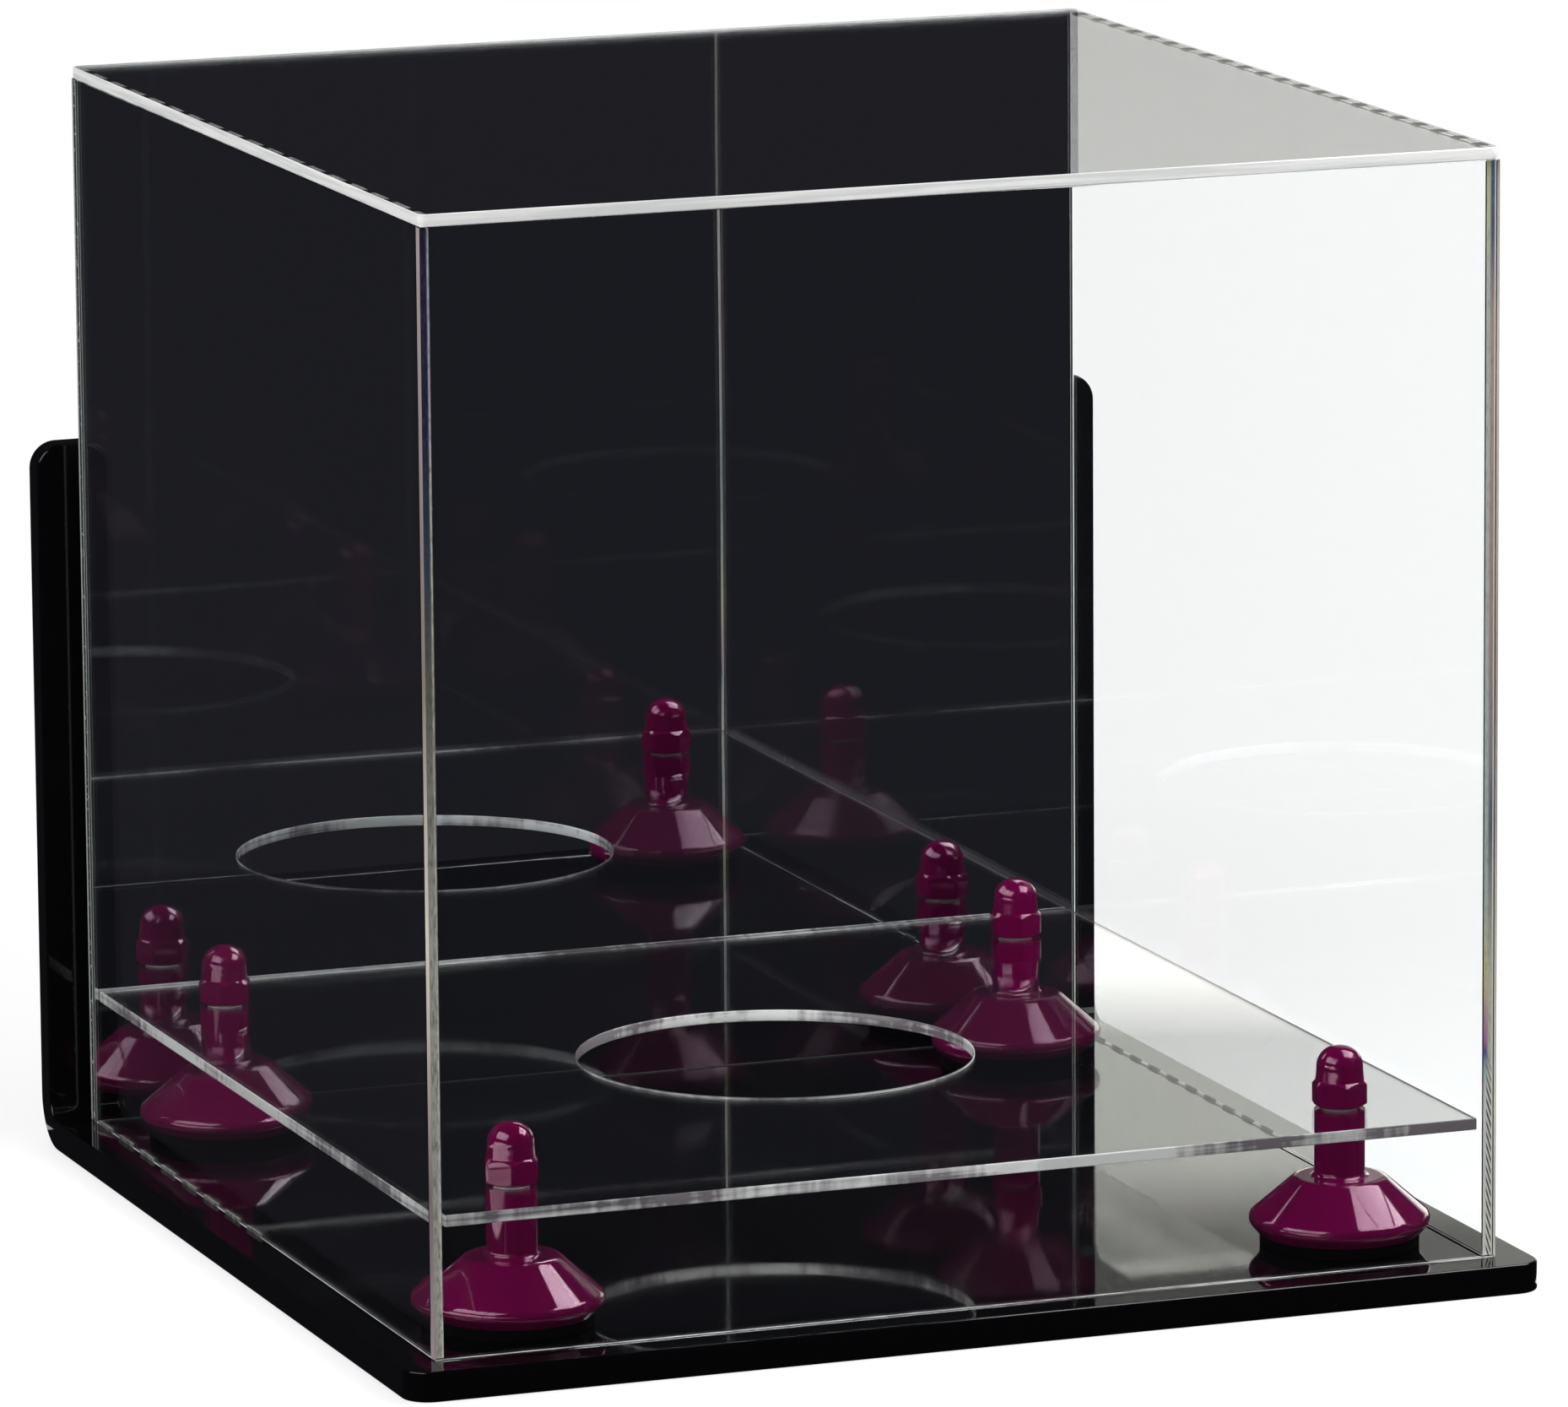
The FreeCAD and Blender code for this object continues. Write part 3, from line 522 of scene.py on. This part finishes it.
def sheet_mesh(name, width, height, thickness, ease, corner, holes=()):
    """A sheet about the origin in XY, with eased edges and round holes. Its upper face has material 0, its
    lower face 1, its eases and holes 2, its ends in X 3, its far edge in Y 4 and its near edge 5."""
    bm = bmesh.new()
    for loop in (outline(width, height, corner), *holes):
        points = [bm.verts.new((x, y, -thickness / 2)) for x, y in loop]
        for i, point in enumerate(points):
            bm.edges.new((point, points[(i + 1) % len(points)]))
    bmesh.ops.triangle_fill(bm, use_beauty=True, edges=bm.edges[:])
    raised = bmesh.ops.extrude_face_region(bm, geom=bm.faces[:], use_keep_orig=True)
    moved = [part for part in raised["geom"] if isinstance(part, bmesh.types.BMVert)]
    bmesh.ops.translate(bm, verts=moved, vec=(0, 0, thickness))
    bmesh.ops.recalc_face_normals(bm, faces=bm.faces[:])
    rims = [edge for edge in bm.edges if len(edge.link_faces) == 2 and edge.calc_face_angle() > SHARP]
    bmesh.ops.bevel(bm, geom=rims, offset=ease, offset_type="OFFSET", segments=2, profile=0.5,
                    affect="EDGES")
    for face in bm.faces:
        on_face = abs(abs(face.calc_center_median().z) - thickness / 2) < TOUCHING
        flat = abs(face.normal.z) > SQUARE and on_face
        face.smooth = not flat
        along_x, along_y = face.normal.x, face.normal.y
        rim = 3 if abs(along_x) > SQUARE else 4 if along_y > SQUARE else 5 if along_y < -SQUARE else 2
        face.material_index = rim if not flat else 0 if face.normal.z > 0 else 1
    for edge in bm.edges:
        edge.smooth = len({face.material_index for face in edge.link_faces}) == 1
    mesh = bpy.data.meshes.new(name)
    bm.to_mesh(mesh)
    bm.free()
    return mesh


# Turns a sheet from XY so that its upper face looks up, to the front or to the right.
FACING = {
    "up": Matrix.Identity(3),
    "front": Matrix(((1, 0, 0), (0, 0, -1), (0, 1, 0))),
    "right": Matrix(((0, 0, 1), (1, 0, 0), (0, 1, 0))),
}


def add_sheet(node, facing, gap, materials, body, ease, corner=0.0, holes=()):
    """Puts a sheet with finished edges in a packed one's place. gap is the air at each end of X, Y and Z."""
    low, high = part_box(node)
    low, high = low + Vector(gap), high - Vector(gap)
    turn = FACING[facing]
    size = turn.transposed() @ (high - low)
    middle = (low + high) / 2
    local = [[(x - middle.x, y - middle.y) for x, y in hole] for hole in holes]
    mesh = sheet_mesh(f"{node}_sheet", abs(size.x), abs(size.y), abs(size.z), ease, corner, local)
    mesh.transform(Matrix.Translation(middle) @ turn.to_4x4())
    for material in materials:
        mesh.materials.append(material)
    piece = bpy.data.objects.new(f"{node}_sheet", mesh)
    bpy.context.scene.collection.objects.link(piece)
    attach(piece, body)
    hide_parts(node)


class CASE_OT_base(bpy.types.Operator):
    """Black polish on the base and wall plate"""
    bl_idname = "display_case.base"
    bl_label = "Base"

    def execute(self, context):
        finish_node("wall_mount_base", new_material(black_cast_acrylic, context.scene.case_colours))
        return {"FINISHED"}


class CASE_OT_cover(bpy.types.Operator):
    """Clear sheets of the cover, with their sawn edges"""
    bl_idname = "display_case.cover"
    bl_label = "Cover"

    def execute(self, context):
        sizes, colours = context.scene.case_sizes, context.scene.case_colours
        clear = new_material(clear_cast_acrylic, colours)
        edge = new_material(flamed_acrylic_edge, colours)
        seam = new_material(solvent_bonded_seam, colours)
        foot = new_material(scraped_acrylic_foot, colours)
        side_foot = new_material(side_sheet_foot, colours)
        front_end = new_material(polished_acrylic_end, colours, *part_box("cover_front"))
        ends = {"left": new_material(streaked_acrylic_end, colours, *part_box("cover_left")),
                "right": new_material(sawn_acrylic_end, colours, sizes, *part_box("cover_right"))}
        gap, ease = sizes.bond_gap, sizes.edge_ease
        add_sheet("cover_top", "up", (0, 0, 0), (clear, clear, edge, edge, edge, edge), "cover",
                  ease, sizes.top_corner)
        add_sheet("cover_front", "front", (0, 0, gap), (clear, clear, clear, front_end, seam, foot), "cover",
                  ease)
        for side, end in ends.items():
            add_sheet(f"cover_{side}", "right", (0, gap, gap), (clear, clear, clear, end, seam, side_foot),
                      "cover", ease)
        return {"FINISHED"}


class CASE_OT_mirror(bpy.types.Operator):
    """Mirrored back sheet of the cover, painted behind"""
    bl_idname = "display_case.mirror"
    bl_label = "Mirror"

    def execute(self, context):
        sizes, colours = context.scene.case_sizes, context.scene.case_colours
        face = new_material(silvered_acrylic, colours)
        paint = new_material(sprayed_backing_paint, colours)
        edge = new_material(mirror_sheet_edge, colours, *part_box("mirror_back_panel"))
        add_sheet("mirror_back_panel", "front", (0, 0, sizes.bond_gap),
                  (face, paint, edge, edge, edge, edge), "cover", sizes.edge_ease)
        return {"FINISHED"}


class CASE_OT_shelf(bpy.types.Operator):
    """Clear shelf with its ball hole and screw holes"""
    bl_idname = "display_case.shelf"
    bl_label = "Shelf"

    def execute(self, context):
        sizes, colours = context.scene.case_sizes, context.scene.case_colours
        clear = new_material(clear_cast_acrylic, colours)
        edge = new_material(streaked_acrylic_edge, colours, sizes)
        mount = next(mount for mount in frame["record"]["mounts"] if mount["name"] == "ball_hole")
        seat_x, seat_y, _ = mount["pos_m"]
        holes = [ring((seat_x, seat_y), mount["dims"]["r_mm"] * MM, count=192)]
        for corner in CORNERS:
            low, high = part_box(f"screw_{corner}")
            middle = (low + high) / 2
            holes.append(ring(middle.xy, sizes.screw_hole, count=48))
        add_sheet("display_shelf", "up", (0, 0, sizes.bond_gap), (clear, clear, edge, edge, edge, edge),
                  "base", sizes.edge_ease, holes=holes)
        return {"FINISHED"}


class CASE_OT_risers(bpy.types.Operator):
    """Lacquered risers and cap nuts, rubber pads and plated screws"""
    bl_idname = "display_case.risers"
    bl_label = "Risers"

    def execute(self, context):
        finishes = {"riser": purple_gloss_lacquer, "pad": moulded_black_rubber, "screw": bright_zinc_plate,
                    "cap_nut": purple_gloss_lacquer}
        for piece, surface in finishes.items():
            for corner in CORNERS:
                finish_node(f"{piece}_{corner}", new_material(surface, context.scene.case_colours))
        return {"FINISHED"}


def marks_tree(material):
    """Cutter marks along a line: small flat hollows, one every pitch."""
    tree = bpy.data.node_groups.new("cutter_marks", "GeometryNodeTree")
    tree.interface.new_socket("Geometry", in_out="OUTPUT", socket_type="NodeSocketGeometry")
    for name in ("Start", "End", "Size"):
        tree.interface.new_socket(name, in_out="INPUT", socket_type="NodeSocketVector")
    tree.interface.new_socket("Pitch", in_out="INPUT", socket_type="NodeSocketFloat")
    given = add_node(tree, "NodeGroupInput").outputs
    line = add_node(tree, "GeometryNodeCurvePrimitiveLine", {"Start": given["Start"], "End": given["End"]})
    points = add_node(tree, "GeometryNodeCurveToPoints", {"Curve": line, "Length": given["Pitch"]},
                      mode="LENGTH")
    hollow = add_node(tree, "GeometryNodeMeshCube", {"Size": (1, 1, 1)})
    placed = add_node(tree, "GeometryNodeInstanceOnPoints",
                      {"Points": points, "Instance": hollow, "Scale": given["Size"]})
    real = add_node(tree, "GeometryNodeRealizeInstances", {"Geometry": placed})
    finished = add_node(tree, "GeometryNodeSetMaterial", {"Geometry": real, "Material": material})
    add_node(tree, "NodeGroupOutput", {"Geometry": finished})
    return tree


def grown_mesh(tree, **inputs):
    """The mesh that a node tree grows from named inputs."""
    carrier = bpy.data.objects.new("carrier", bpy.data.meshes.new("carrier"))
    bpy.context.scene.collection.objects.link(carrier)
    modifier = carrier.modifiers.new("grow", "NODES")
    modifier.node_group = tree
    sockets = {socket.name: socket.identifier for socket in tree.interface.items_tree
               if socket.in_out == "INPUT"}
    for name, value in inputs.items():
        modifier[sockets[name]] = value
    depsgraph = bpy.context.evaluated_depsgraph_get()
    mesh = bpy.data.meshes.new_from_object(carrier.evaluated_get(depsgraph), depsgraph=depsgraph)
    bpy.data.objects.remove(carrier)
    return mesh


# Width of a cutter mark, as a share of its sheet's thickness.
MARK_SHARE = 0.85


class CASE_OT_marks(bpy.types.Operator):
    """Cutter marks along the top and foot of the side sheets"""
    bl_idname = "display_case.marks"
    bl_label = "Cutter marks"

    def execute(self, context):
        sizes = context.scene.case_sizes
        hollow = new_material(cutter_mark_hollow, context.scene.case_colours)
        tree = marks_tree(hollow)
        joined = bmesh.new()
        for side in ("left", "right"):
            low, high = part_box(f"cover_{side}")
            x = (low.x + high.x) / 2
            width = (high.x - low.x) * MARK_SHARE
            top_pitch = getattr(sizes, f"top_pitch_{side}")
            foot_pitch = getattr(sizes, f"foot_pitch_{side}")
            foot_length = getattr(sizes, f"foot_length_{side}")
            foot_depth = getattr(sizes, f"foot_depth_{side}")
            top = (low.y + top_pitch / 2, high.z, top_pitch, sizes.mark_length, sizes.mark_depth)
            foot = (0.0, low.z + foot_depth / 2, foot_pitch, foot_length, foot_depth)
            for front, z, pitch, length, depth in (top, foot):
                mesh = grown_mesh(tree, Start=(x, high.y - pitch / 2, z), End=(x, front, z),
                                  Size=(width, length, depth), Pitch=pitch)
                joined.from_mesh(mesh)
        marks = bpy.data.meshes.new("cutter_marks")
        joined.to_mesh(marks)
        joined.free()
        marks.materials.append(hollow)
        piece = bpy.data.objects.new("cutter_marks", marks)
        context.scene.collection.objects.link(piece)
        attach(piece, "cover")
        return {"FINISHED"}


# A little over white, for what the clear sheets mirror away.
THROUGH_LEVEL = 1.38


def white_beyond(tree):
    """How the eye meets the background: 1 where it does so straight or through clear sheets, how bright
    white is there, and the path of the light."""
    path = add_node(tree, "ShaderNodeLightPath")
    bounced = add_node(tree, "ShaderNodeMath",
                       {0: path.outputs["Glossy Depth"], 1: path.outputs["Diffuse Depth"]}, operation="ADD")
    straight = add_node(tree, "ShaderNodeMath", {0: bounced, 1: 0.5}, operation="LESS_THAN")
    through = add_node(tree, "ShaderNodeMath", {0: path.outputs["Is Transmission Ray"], 1: straight},
                       operation="MULTIPLY")
    seen = add_node(tree, "ShaderNodeMath", {0: path.outputs["Is Camera Ray"], 1: through},
                    operation="MAXIMUM")
    level = add_node(tree, "ShaderNodeMapRange", {"Value": through, "To Min": 1.0, "To Max": THROUGH_LEVEL})
    return seen, level, path


def set_world(stage):
    """White behind the case, a dark room in what it mirrors, and even light on what is matt."""
    world = bpy.data.worlds.new("studio")
    bpy.context.scene.world = world
    world.use_nodes = True
    world.cycles.sampling_method = "NONE"
    tree = world.node_tree
    tree.nodes.clear()
    seen, level, path = white_beyond(tree)
    room = add_node(tree, "ShaderNodeBackground", {"Color": stage.room, "Strength": 1.0})
    even = add_node(tree, "ShaderNodeBackground", {"Color": WHITE, "Strength": stage.ambient})
    white = add_node(tree, "ShaderNodeBackground", {"Color": WHITE, "Strength": level})
    matt = add_node(tree, "ShaderNodeMath", {0: path.outputs["Diffuse Depth"], 1: 1.0}, operation="MINIMUM")
    lights = add_node(tree, "ShaderNodeMixShader", {0: matt, 1: room, 2: even})
    whole = add_node(tree, "ShaderNodeMixShader", {0: seen, 1: lights, 2: white})
    add_node(tree, "ShaderNodeOutputWorld", {"Surface": whole})


def flat_card(name, width, height, place, material):
    """A one-faced card in XY, put in its place on the stage."""
    right, top = width / 2, height / 2
    mesh = bpy.data.meshes.new(name)
    mesh.from_pydata([(-right, -top, 0), (right, -top, 0), (right, top, 0), (-right, top, 0)], [],
                     [(0, 1, 2, 3)])
    mesh.materials.append(material)
    card = bpy.data.objects.new(name, mesh)
    card.matrix_world = place
    bpy.context.scene.collection.objects.link(card)
    return card


# Share of plain white in the floor up to the first distance, where the shadow takes the rest. Past the
# second it is all white.
NEAR_WHITE = 0.6
SHADOW_NEAR = 0.2
SHADOW_FAR = 0.6


def pale_floor(tree, stage):
    """Pale floor: white to the eye, with the shadow kept near the case. Mirrored rays pass it to the dark
    room."""
    seen, level, path = white_beyond(tree)
    place = add_node(tree, "ShaderNodeTexCoord")
    away = add_node(tree, "ShaderNodeVectorMath", {0: place.outputs["Object"]}, operation="LENGTH")
    share = add_node(tree, "ShaderNodeMapRange", {"Value": away, "From Min": SHADOW_NEAR,
                                                  "From Max": SHADOW_FAR, "To Min": NEAR_WHITE,
                                                  "To Max": 1.0})
    glow = add_node(tree, "ShaderNodeEmission", {"Color": WHITE, "Strength": level})
    matt = add_node(tree, "ShaderNodeBsdfDiffuse", {"Color": stage.floor})
    pale = add_node(tree, "ShaderNodeMixShader", {0: share, 1: matt, 2: glow})
    dull = add_node(tree, "ShaderNodeBsdfDiffuse", {"Color": stage.floor_bounce})
    open_floor = add_node(tree, "ShaderNodeBsdfTransparent")
    mirrored = add_node(tree, "ShaderNodeMath", {0: path.outputs["Glossy Depth"], 1: 0.5},
                        operation="GREATER_THAN")
    other = add_node(tree, "ShaderNodeMixShader", {0: mirrored, 1: dull, 2: open_floor})
    return add_node(tree, "ShaderNodeMixShader", {0: seen, 1: other, 2: pale})


# Faces crossed, least and most: any number, or past a whole sheet.
ANY = (0, 99)
DEEP = (3, 99)


def white_card(tree, colour, level, mirrored, crossed, fade):
    """White card in the studio. It shows in the glossy parts, from the least to the most reflections in
    mirrored and through the least to the most faces of clear sheets in crossed, and isn't there otherwise.
    fade says where along Y its level starts to change, where that ends, and the level there."""
    path = add_node(tree, "ShaderNodeLightPath")
    if fade:
        near, far, rest = fade
        level = add_node(tree, "ShaderNodeMapRange", {"Value": spot(tree)["Y"], "From Min": near,
                                                      "From Max": far, "To Min": level, "To Max": rest})
    glow = add_node(tree, "ShaderNodeEmission", {"Color": colour, "Strength": level})
    shown = 1.0
    for depth, (least, most) in (("Glossy Depth", mirrored), ("Transmission Depth", crossed)):
        middle, reach = (least + most) / 2, (most - least) / 2 + 0.5
        within = add_node(tree, "ShaderNodeMath", {0: path.outputs[depth], 1: middle, 2: reach},
                          operation="COMPARE")
        shown = add_node(tree, "ShaderNodeMath", {0: within, 1: shown}, operation="MULTIPLY")
    past = add_node(tree, "ShaderNodeBsdfTransparent")
    return add_node(tree, "ShaderNodeMixShader", {0: shown, 1: past, 2: glow})


def add_card(name, stage, size, place, turn, level, mirrored=(1, 1), crossed=ANY, fade=()):
    """A white card that only shows in what the case mirrors."""
    material = new_material(white_card, stage.card, level, mirrored, crossed, fade, name=name)
    card = flat_card(name, *size, Matrix.Translation(place) @ turn.transposed().to_4x4(), material)
    card.visible_camera = False
    card.visible_diffuse = False
    card.visible_shadow = False


def looking(azimuth, elevation):
    """Unit vector from the case towards an azimuth, from its front to its right, and an elevation."""
    return Vector((math.sin(azimuth) * math.cos(elevation), -math.cos(azimuth) * math.cos(elevation),
                   math.sin(elevation)))


def add_softbox(name, place, aim, width, height, radiance):
    """A soft lamp that looks from a place at a point, by how bright its face is."""
    lamp = bpy.data.lights.new(name, "AREA")
    lamp.shape = "RECTANGLE"
    lamp.size = width
    lamp.size_y = height
    lamp.energy = radiance * math.pi * width * height
    back = (Vector(place) - Vector(aim)).normalized()
    softbox = bpy.data.objects.new(name, lamp)
    softbox.visible_camera = False
    softbox.matrix_world = Matrix.Translation(place) @ back.to_track_quat("Z", "Y").to_matrix().to_4x4()
    bpy.context.scene.collection.objects.link(softbox)


def add_camera(stage):
    """Camera at the angle and lens that were worked out for the case."""
    data = bpy.data.cameras.new("camera")
    data.lens = stage.lens
    data.sensor_width = 36.0
    data.clip_end = 100.0
    back = looking(stage.azimuth, stage.elevation)
    right = (-back).cross(Vector((0, 0, 1))).normalized()
    up = right.cross(-back)
    axes = Matrix((right, up, back)).transposed() @ Matrix.Rotation(stage.roll, 3, "Z")
    camera = bpy.data.objects.new("camera", data)
    camera.matrix_world = Matrix.Translation(Vector(stage.target) + back * stage.distance) @ axes.to_4x4()
    bpy.context.scene.collection.objects.link(camera)
    bpy.context.scene.camera = camera


FLOOR_SIDE = 12.0
# Cards that lie on the floor are this far above it.
CARD_LIFT = 0.5 * MM


def add_cards(stage):
    """White cards for what the case mirrors. Some are placed along the line of sight past the mirror's right
    edge, the others by where they stand beside the case."""
    mirror_low, mirror_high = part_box("mirror_back_panel")
    eye = Vector(stage.target) + looking(stage.azimuth, stage.elevation) * stage.distance
    past = Vector((mirror_high.x, mirror_low.y, 0))
    sight = (past - Vector((eye.x, eye.y, 0))).normalized()
    across, up = Vector((sight.y, -sight.x, 0)), Vector((0, 0, 1))
    lying, upright, square = Matrix((across, sight, up)), Matrix((across, up, -sight)), Matrix.Identity(3)
    brink = Vector((0.1488, -0.1466, CARD_LIFT))
    left = Vector((-1.27, -0.46, 0))
    facing_right = Matrix((Vector((left.y, -left.x, 0)).normalized(), up, -left.normalized()))

    add_card("over_card", stage, (1.26, 1.2), past + sight * 1.3 + across * 0.57 + up * 0.3, lying,
             level=0.6, mirrored=(1, 2), fade=(-0.315, -0.205, 2.2))
    add_card("far_card", stage, (1.26, 0.3), past + sight * 1.9 + across * 0.57 + up * 0.15, upright,
             level=2.2)
    add_card("high_card", stage, (0.35, 0.36), past + sight * 0.4 + across * 0.175 + up * 0.42, upright,
             level=0.42)
    add_card("rear_floor_card", stage, (0.057, 0.155), (0.1785, 0.2225, CARD_LIFT), square,
             level=4.4, mirrored=(2, 2), crossed=(0, 4))
    add_card("side_floor_card", stage, (0.006, 0.078), brink + sight * 0.041 + across * 0.002, lying,
             level=2.0, crossed=(0, 0))
    add_card("left_floor_card", stage, (1.0, 0.95), (-0.74, -0.425, CARD_LIFT), square,
             level=2.2, crossed=DEEP)
    add_card("behind_card", stage, (0.755, 1.04), (0.2225, 0.68, CARD_LIFT), square,
             level=1.2, crossed=(0, 0), fade=(-0.5, 0.3, 0.2))
    add_card("left_card", stage, (1.5, 0.22), left + up * 0.11, facing_right, level=3.0, crossed=DEEP)


class CASE_OT_stage(bpy.types.Operator):
    """Floor, backdrop, lamps and camera"""
    bl_idname = "display_case.stage"
    bl_label = "Stage"

    def execute(self, context):
        scene = context.scene
        stage = scene.case_stage
        scene.view_settings.view_transform = "Standard"
        scene.cycles.max_bounces = 24
        scene.cycles.transmission_bounces = 24
        scene.cycles.glossy_bounces = 12
        scene.cycles.transparent_max_bounces = 24
        set_world(stage)
        flat_card("floor", FLOOR_SIDE, FLOOR_SIDE, Matrix.Identity(4), new_material(pale_floor, stage))
        add_cards(stage)
        add_softbox("right_softbox", place=(0.465, -0.18, 0.56), aim=(0.465, -0.18, 0), width=0.51,
                    height=0.48, radiance=5.5)
        add_softbox("left_softbox", place=(-1.3, -0.47, 1.15), aim=(0, 0, 0.1), width=1.8,
                    height=1.0, radiance=2.8)
        add_camera(stage)
        return {"FINISHED"}


class CASE_PT_sidebar(bpy.types.Panel):
    """Lists what makes up the display case"""
    bl_idname = "CASE_PT_sidebar"
    bl_label = "Display case"
    bl_space_type = "VIEW_3D"
    bl_region_type = "UI"
    bl_category = "Display case"

    def draw(self, context):
        for operator in OPERATORS:
            self.layout.operator(operator.bl_idname)
        for group in GROUPS:
            settings = getattr(context.scene, group)
            for name in settings.__annotations__:
                self.layout.prop(settings, name)


OPERATORS = (CASE_OT_base, CASE_OT_cover, CASE_OT_mirror, CASE_OT_shelf, CASE_OT_risers, CASE_OT_marks,
             CASE_OT_stage)
GROUPS = {"case_sizes": CaseSizes, "case_colours": CaseColours, "case_stage": CaseStage}
CLASSES = (*GROUPS.values(), *OPERATORS, CASE_PT_sidebar)


def register():
    """Adds the classes and the scene's settings."""
    for cls in CLASSES:
        bpy.utils.register_class(cls)
    for name, group in GROUPS.items():
        setattr(bpy.types.Scene, name, bpy.props.PointerProperty(type=group))


def unregister():
    """Takes the classes and settings away again."""
    for name in GROUPS:
        delattr(bpy.types.Scene, name)
    for cls in reversed(CLASSES):
        bpy.utils.unregister_class(cls)


def main():
    """Dresses the case piece by piece."""
    register()
    bpy.ops.display_case.base()
    bpy.ops.display_case.cover()
    bpy.ops.display_case.mirror()
    bpy.ops.display_case.shelf()
    bpy.ops.display_case.risers()
    bpy.ops.display_case.marks()
    bpy.ops.display_case.stage()


if __name__ == "__main__":
    main()
